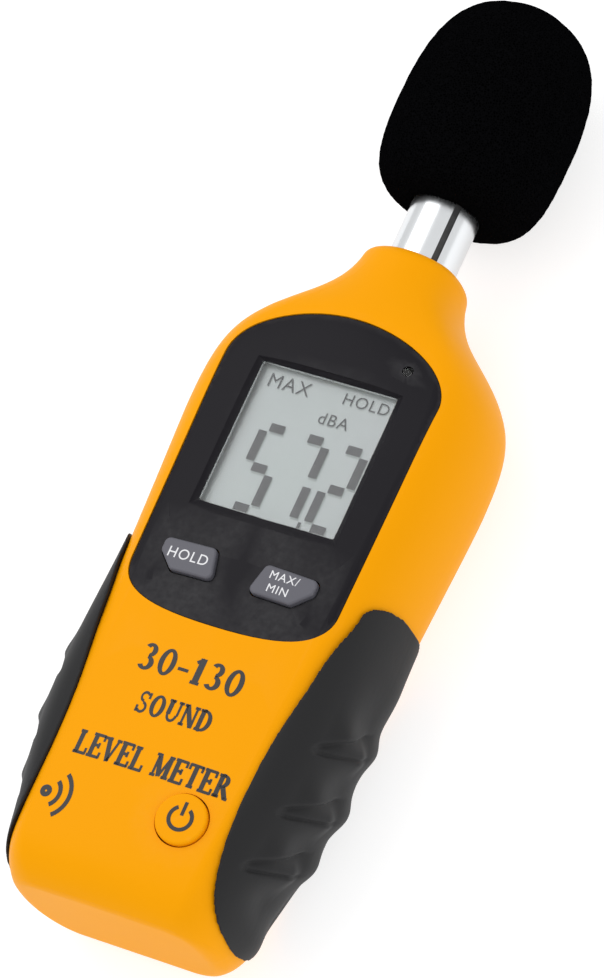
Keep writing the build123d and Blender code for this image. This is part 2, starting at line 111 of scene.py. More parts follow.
class MeterCaseSettings(PropertyGroup):
    shell_colour: FloatVectorProperty(
        name="Shell", description="Colour of the moulded shells",
        subtype="COLOR", size=3, min=0.0, max=1.0, default=(0.93, 0.365, 0.0006))
    shell_roughness: FloatProperty(
        name="Roughness", description="Roughness of the moulded shells",
        default=0.42, min=0.0, max=1.0, subtype="FACTOR")
    ink_colour: FloatVectorProperty(
        name="Ink", description="Colour of the printing on the shell",
        subtype="COLOR", size=3, min=0.0, max=1.0, default=(0.012, 0.011, 0.013))
    ink_thickness: FloatProperty(
        name="Ink thickness", description="How far the printing stands on the surface",
        default=0.04 * MM, min=0.0, unit="LENGTH")


class MeterGripSettings(PropertyGroup):
    rubber_colour: FloatVectorProperty(
        name="Rubber", description="Colour of the side grips",
        subtype="COLOR", size=3, min=0.0, max=1.0, default=(0.017, 0.017, 0.018))
    hollow_depth: FloatProperty(
        name="Hollow depth", description="Depth of the finger hollows at the side",
        default=1.35 * MM, min=0.0, unit="LENGTH")
    scoop_depth: FloatProperty(
        name="Scoop depth", description="Depth of the pointed scoops on the shoulder",
        default=0.95 * MM, min=0.0, unit="LENGTH")
    crest_height: FloatProperty(
        name="Crest height", description="How far the crests between the hollows stand out",
        default=1.1 * MM, min=0.0, unit="LENGTH")
    grain: FloatProperty(
        name="Mesh grain", description="Size of the cells that the grip is sculpted in",
        default=0.27 * MM, min=0.2 * MM, unit="LENGTH")


class MeterDisplaySettings(PropertyGroup):
    panel_colour: FloatVectorProperty(
        name="Panel", description="Colour of the display with all its segments off",
        subtype="COLOR", size=3, min=0.0, max=1.0, default=(0.34, 0.39, 0.38))
    segment_colour: FloatVectorProperty(
        name="Segments", description="Colour of a segment that is on",
        subtype="COLOR", size=3, min=0.0, max=1.0, default=(0.012, 0.014, 0.018))
    reading: StringProperty(
        name="Reading", description="Level that the display shows, in tenths", default="572")
    digit_height: FloatProperty(
        name="Digit height", description="Height of the large digits",
        default=15.6 * MM, min=0.0, unit="LENGTH")


class MeterFoamSettings(PropertyGroup):
    foam_colour: FloatVectorProperty(
        name="Foam", description="Colour of the windscreen foam",
        subtype="COLOR", size=3, min=0.0, max=1.0, default=(0.0012, 0.0012, 0.0014))
    cell_size: FloatProperty(
        name="Cell size", description="Size of the foam's open cells",
        default=0.45 * MM, min=0.05 * MM, unit="LENGTH")
    unevenness: FloatProperty(
        name="Unevenness", description="Height of the foam's uneven surface",
        default=0.16 * MM, min=0.0, unit="LENGTH")


# ---- shader node helpers ---------------------------------------------------------------
def node(tree, kind, sockets=None, **values):
    """New shader node with its plain attributes and input sockets set."""
    made = tree.nodes.new(kind)
    for attribute, value in values.items():
        setattr(made, attribute, value)
    for label, value in (sockets or {}).items():
        made.inputs[label].default_value = value
    return made


def wire(tree, source, target):
    """Link two sockets."""
    tree.links.new(source, target)


def calculate(tree, operation, *values):
    """Result of a math node on sockets or numbers."""
    made = node(tree, "ShaderNodeMath", operation=operation)
    for socket, value in zip(made.inputs, values):
        if isinstance(value, bpy.types.NodeSocket):
            wire(tree, value, socket)
        else:
            socket.default_value = value
    return made.outputs["Value"]


def new_group(name, inputs, outputs):
    """Shader node group with float inputs and named outputs."""
    tree = bpy.data.node_groups.new(name, "ShaderNodeTree")
    for label, default in inputs:
        socket = tree.interface.new_socket(name=label, in_out="INPUT", socket_type="NodeSocketFloat")
        socket.default_value = default
    for label in outputs:
        tree.interface.new_socket(name=label, in_out="OUTPUT", socket_type="NodeSocketFloat")
    return tree, tree.nodes.new("NodeGroupInput"), tree.nodes.new("NodeGroupOutput")


def grain_group():
    """Moulded grain: Height for bump, and Tone, a slow variation from 0 to 1."""
    inputs = [("Grain", 3000.0), ("Patches", 40.0)]
    tree, given, result = new_group("moulded grain", inputs, ["Height", "Tone"])
    place = node(tree, "ShaderNodeTexCoord")
    fine = node(tree, "ShaderNodeTexNoise", {"Detail": 3.0})
    slow = node(tree, "ShaderNodeTexNoise", {"Detail": 2.0})
    wire(tree, place.outputs["Object"], fine.inputs["Vector"])
    wire(tree, place.outputs["Object"], slow.inputs["Vector"])
    wire(tree, given.outputs["Grain"], fine.inputs["Scale"])
    wire(tree, given.outputs["Patches"], slow.inputs["Scale"])
    wire(tree, fine.outputs["Fac"], result.inputs["Height"])
    wire(tree, slow.outputs["Fac"], result.inputs["Tone"])
    return tree


def wear_group():
    """Edge wear: Mask is high on sharp outer edges, broken up by noise."""
    tree, given, result = new_group("edge wear", [("From", 0.52), ("To", 0.62), ("Breakup", 900.0)], ["Mask"])
    shape = node(tree, "ShaderNodeNewGeometry")
    place = node(tree, "ShaderNodeTexCoord")
    spread = node(tree, "ShaderNodeMapRange")
    patches = node(tree, "ShaderNodeTexNoise", {"Detail": 4.0})
    wire(tree, shape.outputs["Pointiness"], spread.inputs["Value"])
    wire(tree, given.outputs["From"], spread.inputs["From Min"])
    wire(tree, given.outputs["To"], spread.inputs["From Max"])
    wire(tree, place.outputs["Object"], patches.inputs["Vector"])
    wire(tree, given.outputs["Breakup"], patches.inputs["Scale"])
    product = calculate(tree, "MULTIPLY", spread.outputs["Result"], patches.outputs["Fac"])
    wire(tree, product, result.inputs["Mask"])
    return tree


def streak_group():
    """Drawn streaks along Y: Height from 0 to 1, for plated and drawn metal."""
    tree, given, result = new_group("drawn streaks", [("Across", 4000.0), ("Along", 60.0)], ["Height"])
    place = node(tree, "ShaderNodeTexCoord")
    size = node(tree, "ShaderNodeCombineXYZ")
    stretch = node(tree, "ShaderNodeVectorMath", operation="MULTIPLY")
    streaks = node(tree, "ShaderNodeTexNoise", {"Scale": 1.0, "Detail": 2.0})
    wire(tree, given.outputs["Across"], size.inputs["X"])
    wire(tree, given.outputs["Along"], size.inputs["Y"])
    wire(tree, given.outputs["Across"], size.inputs["Z"])
    wire(tree, place.outputs["Object"], stretch.inputs[0])
    wire(tree, size.outputs["Vector"], stretch.inputs[1])
    wire(tree, stretch.outputs["Vector"], streaks.inputs["Vector"])
    wire(tree, streaks.outputs["Fac"], result.inputs["Height"])
    return tree


def cells_group():
    """Open foam cells: Height for bump, and Painted Shade, 1 in the middle of a cell where the pores are
    shaded.
    """
    tree, given, result = new_group("open cells", [("Cells", 2200.0)], ["Height", "Painted Shade"])
    place = node(tree, "ShaderNodeTexCoord")
    cells = node(tree, "ShaderNodeTexVoronoi", feature="F1")
    walls = node(tree, "ShaderNodeTexVoronoi", feature="DISTANCE_TO_EDGE")
    # Mask for painted shade: high in the middle of each cell, where the pores lie.
    painted_pore_shade = node(tree, "ShaderNodeMapRange", {"From Min": 0.04, "From Max": 0.30})
    for texture in (cells, walls):
        wire(tree, place.outputs["Object"], texture.inputs["Vector"])
        wire(tree, given.outputs["Cells"], texture.inputs["Scale"])
    wire(tree, cells.outputs["Distance"], result.inputs["Height"])
    wire(tree, walls.outputs["Distance"], painted_pore_shade.inputs["Value"])
    wire(tree, painted_pore_shade.outputs["Result"], result.inputs["Painted Shade"])
    return tree


GROUP_BUILDERS = {
    "moulded grain": grain_group,
    "edge wear": wear_group,
    "drawn streaks": streak_group,
    "open cells": cells_group,
}


def use_group(tree, name, **values):
    """Place a shared shader group, building it the first time."""
    shared = bpy.data.node_groups.get(name) or GROUP_BUILDERS[name]()
    return node(tree, "ShaderNodeGroup", values, node_tree=shared)


def new_material(name):
    """Material with a Principled shader wired to its output."""
    material = bpy.data.materials.new(name)
    material.use_nodes = True
    tree = material.node_tree
    tree.nodes.clear()
    shader = node(tree, "ShaderNodeBsdfPrincipled")
    surface = node(tree, "ShaderNodeOutputMaterial")
    wire(tree, shader.outputs["BSDF"], surface.inputs["Surface"])
    return material, tree, shader


def shade(colour, factor):
    """A colour made lighter or darker, with alpha 1."""
    return (*[min(1.0, c * factor) for c in colour[:3]], 1.0)


def blend_colours(tree, mask, first, second):
    """Mix node between two colours or colour sockets."""
    mixer = node(tree, "ShaderNodeMix", data_type="RGBA")
    wire(tree, mask, mixer.inputs["Factor"])
    for socket, value in ((mixer.inputs["A"], first), (mixer.inputs["B"], second)):
        if isinstance(value, bpy.types.NodeSocket):
            wire(tree, value, socket)
        else:
            socket.default_value = value
    return mixer.outputs["Result"]


def spread_value(tree, source, low, high):
    """A 0 to 1 socket moved to a range from low to high."""
    spread = node(tree, "ShaderNodeMapRange", {"To Min": low, "To Max": high})
    wire(tree, source, spread.inputs["Value"])
    return spread.outputs["Result"]


def add_bump(tree, shader, height, depth):
    """Bump from a height socket; depth is in metres."""
    bump = node(tree, "ShaderNodeBump", {"Strength": 1.0, "Distance": depth})
    wire(tree, height, bump.inputs["Height"])
    wire(tree, bump.outputs["Normal"], shader.inputs["Normal"])


# ---- materials -------------------------------------------------------------------------
LEAST_ROUGHNESS = 0.02
OUTER_CELL_SIDE = 5.5 * MM
NUB_BAND_START = 10.0 * MM


def moulding(name, colour, roughness, grain=3000.0, depth=0.012 * MM, tone=0.06, wear=0.25, specular=0.5):
    """Moulded plastic or rubber: grain, slow tone changes and lighter worn edges."""
    material, tree, shader = new_material(name)
    texture = use_group(tree, "moulded grain", Grain=grain)
    edges = use_group(tree, "edge wear")
    body = blend_colours(tree, texture.outputs["Tone"], shade(colour, 1.0 - tone), shade(colour, 1.0 + tone))
    worn = calculate(tree, "MULTIPLY", edges.outputs["Mask"], wear)
    pale = [c + (1.0 - c) * 0.25 for c in colour[:3]]
    wire(tree, blend_colours(tree, worn, body, (*pale, 1.0)), shader.inputs["Base Color"])
    wire(tree, spread_value(tree, texture.outputs["Tone"], roughness - 0.05, roughness + 0.05),
         shader.inputs["Roughness"])
    shader.inputs["Specular IOR Level"].default_value = specular
    add_bump(tree, shader, texture.outputs["Height"], depth)
    return material


def plated(name, colour, roughness, streak=0.10, depth=0.001 * MM, rim=1.0):
    """Metal with drawn streaks in its roughness; rim is painted shade that darkens its colour where it turns
    away from the view.
    """
    material, tree, shader = new_material(name)
    streaks = use_group(tree, "drawn streaks")
    tones = use_group(tree, "moulded grain", Patches=120.0)
    body = blend_colours(tree, tones.outputs["Tone"], shade(colour, 0.94), shade(colour, 1.04))
    # Painted shade: the colour goes darker where the surface turns away from the view.
    turned = node(tree, "ShaderNodeLayerWeight", {"Blend": 0.5})
    wire(tree, blend_colours(tree, turned.outputs["Facing"], body, shade(colour, rim)),
         shader.inputs["Base Color"])
    glossiest = max(LEAST_ROUGHNESS, roughness - streak)
    wire(tree, spread_value(tree, streaks.outputs["Height"], glossiest, roughness + streak),
         shader.inputs["Roughness"])
    shader.inputs["Metallic"].default_value = 1.0
    add_bump(tree, shader, streaks.outputs["Height"], depth)
    return material


def open_foam(name, colour, cell, depth):
    """Open-cell foam: painted shade darkens the pores between paler matt walls."""
    material, tree, shader = new_material(name)
    cells = use_group(tree, "open cells", Cells=1.0 / cell)
    # Painted shade: the middles of the cells go darker and the walls lighter, standing for the shade in the
    # pores.
    wire(tree, blend_colours(tree, cells.outputs["Painted Shade"], shade(colour, 2.2), shade(colour, 0.35)),
         shader.inputs["Base Color"])
    shader.inputs["Roughness"].default_value = 1.0
    shader.inputs["Specular IOR Level"].default_value = 0.0
    shader.inputs["Sheen Weight"].default_value = 0.0
    add_bump(tree, shader, cells.outputs["Height"], depth)
    return material


def clear_window(name):
    """Clear acrylic that lets lamps through, with faint smears in its gloss."""
    material, tree, shader = new_material(name)
    smears = use_group(tree, "moulded grain", Patches=260.0)
    wire(tree, blend_colours(tree, smears.outputs["Tone"], (0.97, 0.98, 0.98, 1.0), (1.0, 1.0, 1.0, 1.0)),
         shader.inputs["Base Color"])
    wire(tree, spread_value(tree, smears.outputs["Tone"], 0.0, 0.03), shader.inputs["Roughness"])
    shader.inputs["Transmission Weight"].default_value = 1.0
    shader.inputs["IOR"].default_value = 1.30
    rays = node(tree, "ShaderNodeLightPath")
    pass_through = node(tree, "ShaderNodeBsdfTransparent")
    choice = node(tree, "ShaderNodeMixShader")
    surface = next(n for n in tree.nodes if n.type == "OUTPUT_MATERIAL")
    wire(tree, rays.outputs["Is Shadow Ray"], choice.inputs["Fac"])
    wire(tree, shader.outputs["BSDF"], choice.inputs[1])
    wire(tree, pass_through.outputs["BSDF"], choice.inputs[2])
    wire(tree, choice.outputs["Shader"], surface.inputs["Surface"])
    return material


def display_face(name, colour):
    """Reflective display: a slow drift from green-grey to lilac-grey, with a faint bump."""
    material, tree, shader = new_material(name)
    drift = use_group(tree, "moulded grain", Grain=9000.0, Patches=45.0)
    lilac = (colour[0] * 1.02, colour[1] * 0.93, colour[2] * 0.99, 1.0)
    wire(tree, blend_colours(tree, drift.outputs["Tone"], shade(colour, 1.0), lilac),
         shader.inputs["Base Color"])
    wire(tree, spread_value(tree, drift.outputs["Height"], 0.30, 0.42), shader.inputs["Roughness"])
    add_bump(tree, shader, drift.outputs["Height"], 0.0008 * MM)
    return material


def board_face(name):
    """Green solder mask with the paler lines of the tracks under it."""
    material, tree, shader = new_material(name)
    place = node(tree, "ShaderNodeTexCoord")
    tracks = node(tree, "ShaderNodeTexBrick", {
        "Scale": 260.0, "Mortar Size": 0.06, "Color1": (0.010, 0.115, 0.040, 1.0),
        "Color2": (0.012, 0.135, 0.048, 1.0), "Mortar": (0.035, 0.240, 0.090, 1.0),
    })
    wire(tree, place.outputs["Object"], tracks.inputs["Vector"])
    wire(tree, tracks.outputs["Color"], shader.inputs["Base Color"])
    wire(tree, spread_value(tree, tracks.outputs["Fac"], 0.32, 0.22), shader.inputs["Roughness"])
    add_bump(tree, shader, tracks.outputs["Fac"], 0.02 * MM)
    return material


def cell_jacket(name, jacket, cap):
    """Printed film round a dry cell, with a coloured band at the nub end."""
    material, tree, shader = new_material(name)
    place = node(tree, "ShaderNodeTexCoord")
    axes = node(tree, "ShaderNodeSeparateXYZ")
    wire(tree, place.outputs["Object"], axes.inputs["Vector"])
    low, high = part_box("batteries")
    shift = calculate(tree, "SUBTRACT", axes.outputs["Y"], (low[1] + high[1]) / 2)
    side = calculate(tree, "ABSOLUTE", axes.outputs["X"])
    outer = calculate(tree, "GREATER_THAN", side, OUTER_CELL_SIDE)
    turn = spread_value(tree, outer, 1.0, -1.0)
    towards_nub = calculate(tree, "MULTIPLY", shift, turn)
    band = calculate(tree, "GREATER_THAN", towards_nub, NUB_BAND_START)
    film = use_group(tree, "moulded grain", Grain=1500.0, Patches=90.0)
    wire(tree, blend_colours(tree, band, shade(jacket, 1.0), shade(cap, 1.0)),
         shader.inputs["Base Color"])
    wire(tree, band, shader.inputs["Metallic"])
    wire(tree, spread_value(tree, film.outputs["Tone"], 0.22, 0.34), shader.inputs["Roughness"])
    add_bump(tree, shader, film.outputs["Height"], 0.002 * MM)
    return material


def pale_floor(name, colour, glow):
    """Plain floor, lit from inside a little so that shadows stay faint."""
    material, tree, shader = new_material(name)
    tone = use_group(tree, "moulded grain", Grain=400.0, Patches=6.0)
    wire(tree, blend_colours(tree, tone.outputs["Tone"], shade(colour, 0.995), shade(colour, 1.005)),
         shader.inputs["Base Color"])
    shader.inputs["Roughness"].default_value = 0.9
    shader.inputs["Specular IOR Level"].default_value = 0.1
    shader.inputs["Emission Color"].default_value = (1.0, 1.0, 1.0, 1.0)
    shader.inputs["Emission Strength"].default_value = glow
    return material


# ---- mesh helpers ----------------------------------------------------------------------
def finished(name, form, material, body, smooth=True):
    """Make an object from a bmesh, dress it, and ride it on its body."""
    mesh = bpy.data.meshes.new(name)
    form.to_mesh(mesh)
    form.free()
    for face in mesh.polygons:
        face.use_smooth = smooth
    mesh.materials.append(material)
    piece = bpy.data.objects.new(name, mesh)
    bpy.context.scene.collection.objects.link(piece)
    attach(piece, body)
    return piece


def dress(name, material):
    """Give a CAD node its material."""
    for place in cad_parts[name].material_slots:
        place.material = material


def relax(form, factor):
    """Smooth a form once along all three axes."""
    axes = {"use_axis_x": True, "use_axis_y": True, "use_axis_z": True}
    bmesh.ops.smooth_vert(form, verts=form.verts, factor=factor, **axes)


def top_of(*names):
    """Function that gives the height of the CAD surface over a point."""
    whole = bmesh.new()
    for name in names:
        whole.from_mesh(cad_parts[name].data)
    tree = BVHTree.FromBMesh(whole)
    whole.free()

    def height(x, y):
        hit = tree.ray_cast(Vector((x, y, ABOVE_ALL)), DOWN)[0]
        if hit is None:
            raise ValueError(f"nothing of {names} lies under {x:.4f}, {y:.4f}")
        return hit.z

    return height


def lay_on(form, height, thickness, lift=0.0):
    """Drop a flat sheet, drawn at z = 0, onto a surface and give it a thickness."""
    bmesh.ops.recalc_face_normals(form, faces=form.faces)
    flat = form.faces[:]
    for vert in form.verts:
        vert.co.z = height(vert.co.x, vert.co.y) + lift
    raised = bmesh.ops.extrude_face_region(form, geom=flat)
    lifted = [item for item in raised["geom"] if isinstance(item, bmesh.types.BMVert)]
    bmesh.ops.translate(form, vec=(0.0, 0.0, thickness), verts=lifted)
    bmesh.ops.recalc_face_normals(form, faces=form.faces)


LETTER_SPACE = 1.12


def text_sheet(words, size, centre):
    """Flat sheet of the outlines of some words, centred on a point."""
    curve = bpy.data.curves.new("outline", "FONT")
    curve.body = words
    curve.size = size
    curve.align_x = "CENTER"
    curve.align_y = "CENTER"
    curve.space_character = LETTER_SPACE
    curve.resolution_u = 5
    holder = bpy.data.objects.new("outline", curve)
    bpy.context.scene.collection.objects.link(holder)
    depsgraph = bpy.context.evaluated_depsgraph_get()
    mesh = bpy.data.meshes.new_from_object(holder.evaluated_get(depsgraph))
    bpy.data.objects.remove(holder)
    form = bmesh.new()
    form.from_mesh(mesh)
    bpy.data.meshes.remove(mesh)
    bmesh.ops.remove_doubles(form, verts=form.verts, dist=1e-7)
    bmesh.ops.translate(form, vec=(centre[0], centre[1], 0.0), verts=form.verts)
    return form


def add_band(form, centre, inner, outer, start, sweep):
    """Flat curved band between two half sizes (x, y), from an angle through a sweep in degrees."""
    turn = Matrix.Rotation(math.radians(start), 3, "Z")
    ends = [form.verts.new(turn @ Vector((radius, 0.0, 0.0))) for radius in (0.5, 1.0)]
    edge = form.edges.new(ends)
    before = set(form.verts) - set(ends)
    bmesh.ops.spin(
        form, geom=[*ends, edge], cent=(0.0, 0.0, 0.0), axis=(0.0, 0.0, 1.0),
        angle=math.radians(sweep), steps=max(6, int(abs(sweep) / 9)), use_merge=abs(sweep) >= 360.0,
    )
    for vert in set(form.verts) - before:
        size = inner if vert.co.length < 0.75 else outer
        unit = vert.co.normalized()
        vert.co = Vector(centre) + Vector((unit.x * size[0], unit.y * size[1], 0.0))


def add_bar(form, start, end, thickness):
    """Flat bar between two points."""
    start = Vector((*start[:2], 0.0))
    end = Vector((*end[:2], 0.0))
    run = end - start
    turn = Matrix.Rotation(math.atan2(run.y, run.x), 4, "Z")
    size = Matrix.Diagonal((run.length, thickness, 1.0, 1.0))
    place = Matrix.Translation((start + end) / 2) @ turn @ size
    bmesh.ops.create_grid(form, x_segments=3, y_segments=1, size=0.5, matrix=place)


# Roman capitals and figures, one unit tall. A bar is (start, end, thickness); a bowl is
# (centre, half size, side thickness, start angle, sweep).
STEM = 0.235
HAIR = 0.125


def serif(x, y, reach=0.17):
    """Short level bar across the end of a stem."""
    level = HAIR / 2 if y == 0.0 else y - HAIR / 2
    return ((x - reach, level), (x + reach, level), HAIR)


GLYPHS = {
    "L": (0.76, [((0.2, 0.0), (0.2, 1.0), STEM), serif(0.2, 1.0), ((0.03, 0.04), (0.7, 0.04), HAIR),
                 ((0.68, 0.0), (0.68, 0.28), HAIR)], []),
    "E": (0.78, [((0.2, 0.0), (0.2, 1.0), STEM), ((0.03, 0.04), (0.7, 0.04), HAIR),
                 ((0.03, 0.96), (0.68, 0.96), HAIR), ((0.2, 0.52), (0.5, 0.52), HAIR),
                 ((0.69, 0.0), (0.69, 0.26), HAIR), ((0.67, 0.74), (0.67, 1.0), HAIR),
                 ((0.5, 0.40), (0.5, 0.64), HAIR)], []),
    "T": (0.80, [((0.39, 0.0), (0.39, 1.0), STEM), serif(0.39, 0.0), ((0.04, 0.96), (0.74, 0.96), HAIR),
                 ((0.06, 0.74), (0.06, 1.0), HAIR), ((0.72, 0.74), (0.72, 1.0), HAIR)], []),
    "V": (0.82, [((0.13, 1.0), (0.41, 0.0), STEM), ((0.41, 0.0), (0.68, 1.0), HAIR), serif(0.13, 1.0),
                 serif(0.68, 1.0, 0.13)], []),
    "N": (0.90, [((0.17, 0.0), (0.17, 1.0), HAIR), ((0.17, 0.97), (0.72, 0.03), STEM),
                 ((0.74, 0.0), (0.74, 1.0), HAIR), serif(0.17, 0.0, 0.14), serif(0.12, 1.0, 0.10),
                 serif(0.74, 1.0, 0.14)], []),
    "M": (1.02, [((0.17, 0.0), (0.17, 1.0), HAIR), ((0.19, 0.97), (0.49, 0.06), STEM),
                 ((0.49, 0.06), (0.80, 0.97), HAIR), ((0.82, 0.0), (0.82, 1.0), STEM),
                 serif(0.17, 0.0, 0.14), serif(0.82, 0.0), serif(0.13, 1.0, 0.11),
                 serif(0.84, 1.0, 0.14)], []),
    "R": (0.88, [((0.2, 0.0), (0.2, 1.0), STEM), serif(0.2, 0.0), serif(0.2, 1.0),
                 ((0.40, 0.50), (0.70, 0.05), STEM), ((0.62, 0.04), (0.84, 0.04), HAIR),
                 ((0.2, 0.96), (0.36, 0.96), HAIR), ((0.2, 0.49), (0.36, 0.49), HAIR)],
          [((0.35, 0.73), (0.30, 0.27), STEM, -90, 180)]),
    "D": (0.90, [((0.2, 0.0), (0.2, 1.0), STEM), serif(0.2, 0.0), serif(0.2, 1.0),
                 ((0.2, 0.96), (0.34, 0.96), HAIR), ((0.2, 0.04), (0.34, 0.04), HAIR)],
          [((0.33, 0.5), (0.46, 0.5), STEM, -90, 180)]),
    "U": (0.88, [((0.2, 0.32), (0.2, 1.0), STEM), ((0.70, 0.32), (0.70, 1.0), HAIR), serif(0.2, 1.0),
                 serif(0.70, 1.0, 0.14)], [((0.415, 0.33), (0.30, 0.34), 0.13, 180, 180)]),
    "O": (0.94, [], [((0.45, 0.5), (0.40, 0.515), STEM, 0, 360)]),
    "S": (0.72, [((0.59, 0.70), (0.59, 0.98), HAIR), ((0.10, 0.02), (0.10, 0.32), HAIR)],
          [((0.34, 0.755), (0.26, 0.26), 0.11, 30, 240), ((0.34, 0.265), (0.28, 0.28), 0.13, 90, -240)]),
    "3": (0.72, [], [((0.31, 0.755), (0.26, 0.26), 0.19, 150, -240),
                     ((0.31, 0.27), (0.30, 0.285), 0.20, 90, -240)]),
    "0": (0.76, [], [((0.36, 0.5), (0.32, 0.515), 0.19, 0, 360)]),
    "1": (0.62, [((0.32, 0.0), (0.32, 1.0), STEM), serif(0.32, 0.0), ((0.12, 0.80), (0.34, 0.97), HAIR)], []),
    "-": (0.52, [((0.06, 0.40), (0.46, 0.40), 0.12)], []),
    " ": (0.42, [], []),
}


def roman_sheet(words, height, centre, width):
    """Flat sheet of roman letters of a given height, fitted to a width and centred."""
    form = bmesh.new()
    pen = 0.0
    for letter in words:
        advance, bars, bowls = GLYPHS[letter]
        for start, end, thickness in bars:
            add_bar(form, (pen + start[0], start[1]), (pen + end[0], end[1]), thickness)
        for middle_point, size, side, start_angle, sweep in bowls:
            inner = (size[0] - side, size[1] - HAIR)
            add_band(form, (pen + middle_point[0], middle_point[1], 0.0), inner, size, start_angle, sweep)
        pen += advance
    bmesh.ops.translate(form, vec=(-pen / 2, -0.5, 0.0), verts=form.verts)
    bmesh.ops.scale(form, vec=(width / pen, height, 1.0), verts=form.verts)
    bmesh.ops.translate(form, vec=(centre[0], centre[1], 0.0), verts=form.verts)
    return form


# ---- stage -----------------------------------------------------------------------------
CAMERA_AT = Vector((0.42317, -0.30808, 0.87577))
CAMERA_AXES = ((0.869, 0.402, -0.290), (-0.257, 0.865, 0.431), (0.424, -0.300, 0.855))
LENS = 212.5
FLOOR_SIZE = 6.0


class METER_OT_stage(Operator):
    """Floor, soft lamps, even sky and the camera"""

    bl_idname = "meter.stage"
    bl_label = "Stage"

    def execute(self, context):
        settings = context.scene.meter_stage
        floor = bmesh.new()
        bmesh.ops.create_grid(floor, x_segments=2, y_segments=2, size=FLOOR_SIZE / 2)
        mesh = bpy.data.meshes.new("floor")
        floor.to_mesh(mesh)
        floor.free()
        mesh.materials.append(pale_floor("floor", settings.floor_colour, settings.floor_glow))
        plane = bpy.data.objects.new("floor", mesh)
        plane.location.z = -0.0002
        context.scene.collection.objects.link(plane)
        self.lamp(context, "key", (-0.55, 0.25, 0.95), 0.9, settings.key_power)
        self.lamp(context, "fill", (0.9, -0.35, 0.7), 0.8, settings.fill_power)
        world = bpy.data.worlds.new("even sky")
        world.use_nodes = True
        background = world.node_tree.nodes["Background"]
        background.inputs["Color"].default_value = (1.0, 1.0, 1.0, 1.0)
        background.inputs["Strength"].default_value = settings.sky_strength
        context.scene.world = world
        self.camera(context)
        context.scene.view_settings.view_transform = "Standard"
        context.scene.view_settings.look = "None"
        return {"FINISHED"}

    def lamp(self, context, name, place, size, power):
        """Square soft lamp that looks at the middle of the meter."""
        light = bpy.data.lights.new(name, "AREA")
        light.size = size
        light.energy = power
        lamp = bpy.data.objects.new(name, light)
        lamp.location = place
        lamp.rotation_euler = (-Vector(place)).to_track_quat("-Z", "Y").to_euler()
        context.scene.collection.objects.link(lamp)

    def camera(self, context):
        """Camera at the viewing angle, with its axes given as right, up and back."""
        lens = bpy.data.cameras.new("camera")
        lens.lens = LENS
        lens.sensor_width = 36.0
        lens.clip_start = 0.05
        lens.clip_end = 20.0
        viewer = bpy.data.objects.new("camera", lens)
        right = Vector(CAMERA_AXES[0]).normalized()
        back = Vector(CAMERA_AXES[2])
        back = (back - right * back.dot(right)).normalized()
        up = back.cross(right)
        turn = Matrix((right, up, back)).transposed()
        viewer.matrix_world = Matrix.Translation(CAMERA_AT) @ turn.to_4x4()
        context.scene.collection.objects.link(viewer)
        context.scene.camera = viewer


# ---- case ------------------------------------------------------------------------------
class METER_OT_case(Operator):
    """Finish of the shells, the battery door and the power key"""

    bl_idname = "meter.case"
    bl_label = "Case"

    def execute(self, context):
        settings = context.scene.meter_case
        shell = moulding("orange_shell", settings.shell_colour, settings.shell_roughness,
                         grain=2600.0, depth=0.006 * MM, tone=0.02, wear=0.05, specular=0.045)
        for name in ("front_case", "rear_case", "battery_cover", "power_button"):
            dress(name, shell)
        return {"FINISHED"}


# ---- grips -----------------------------------------------------------------------------
TIP_PLACES = (14.4, 25.2, 37.5)
TIP_LEVEL = 27.9
TIP_SLOPE = 0.50
TIP_SPREAD = 0.55
WIDEST_SPREAD = 2.0
CREST_REACH = 3.1
CREST_PLACES = (19.0, 30.0, 42.5)
CREST_SPREAD = 3.2


def smooth_step(low, high, value):
    """0 below low, 1 above high, and smooth between."""
    share = min(1.0, max(0.0, (value - low) / (high - low)))
    return share * share * (3.0 - 2.0 * share)


def hollow(y, z):
    """Depth of the finger hollows, 0 to 1, between crests that start at the scoops' lower edges."""
    run = TIP_LEVEL - z
    spread = min(WIDEST_SPREAD, TIP_SPREAD * math.sqrt(max(run, 0.0)))
    crest = 0.0
    for tip in TIP_PLACES:
        off = y - (tip + TIP_SLOPE * run - spread)
        crest = max(crest, math.exp(-(off / CREST_REACH) ** 2))
    ends = smooth_step(6.0, 13.0, y) * (1.0 - smooth_step(46.0, 58.0, y))
    return (1.0 - crest) * ends * smooth_step(2.0, 13.0, run) * smooth_step(1.0, 6.0, z)


def crest(y, z):
    """Height of the crests between the hollows, 0 to 1, on the part of the side that shows from above."""
    highest = max(math.exp(-((y - place) / CREST_SPREAD) ** 2) for place in CREST_PLACES)
    return highest * smooth_step(13.0, 17.0, z) * (1.0 - smooth_step(22.0, 27.0, z))


def scoop(y, z):
    """Depth of the pointed scoops, 0 to 1: a crisp upper edge and a softer lower one."""
    run = TIP_LEVEL - z
    spread = min(WIDEST_SPREAD, TIP_SPREAD * math.sqrt(max(run, 0.0)))
    fade = smooth_step(-0.6, 2.0, run) * (1.0 - smooth_step(11.0, 17.0, run))
    deepest = 0.0
    for tip in TIP_PLACES:
        off = y - (tip + TIP_SLOPE * run)
        upper = math.exp(-((off - spread) / 0.42) ** 2)
        lower = 0.80 * math.exp(-((off + spread) / 0.42) ** 2)
        inside = 0.0
        if abs(off) < spread:
            inside = 0.15 + 0.75 * (off / spread + 1.0) / 2.0
        deepest = max(deepest, upper, lower, inside)
    return deepest * fade


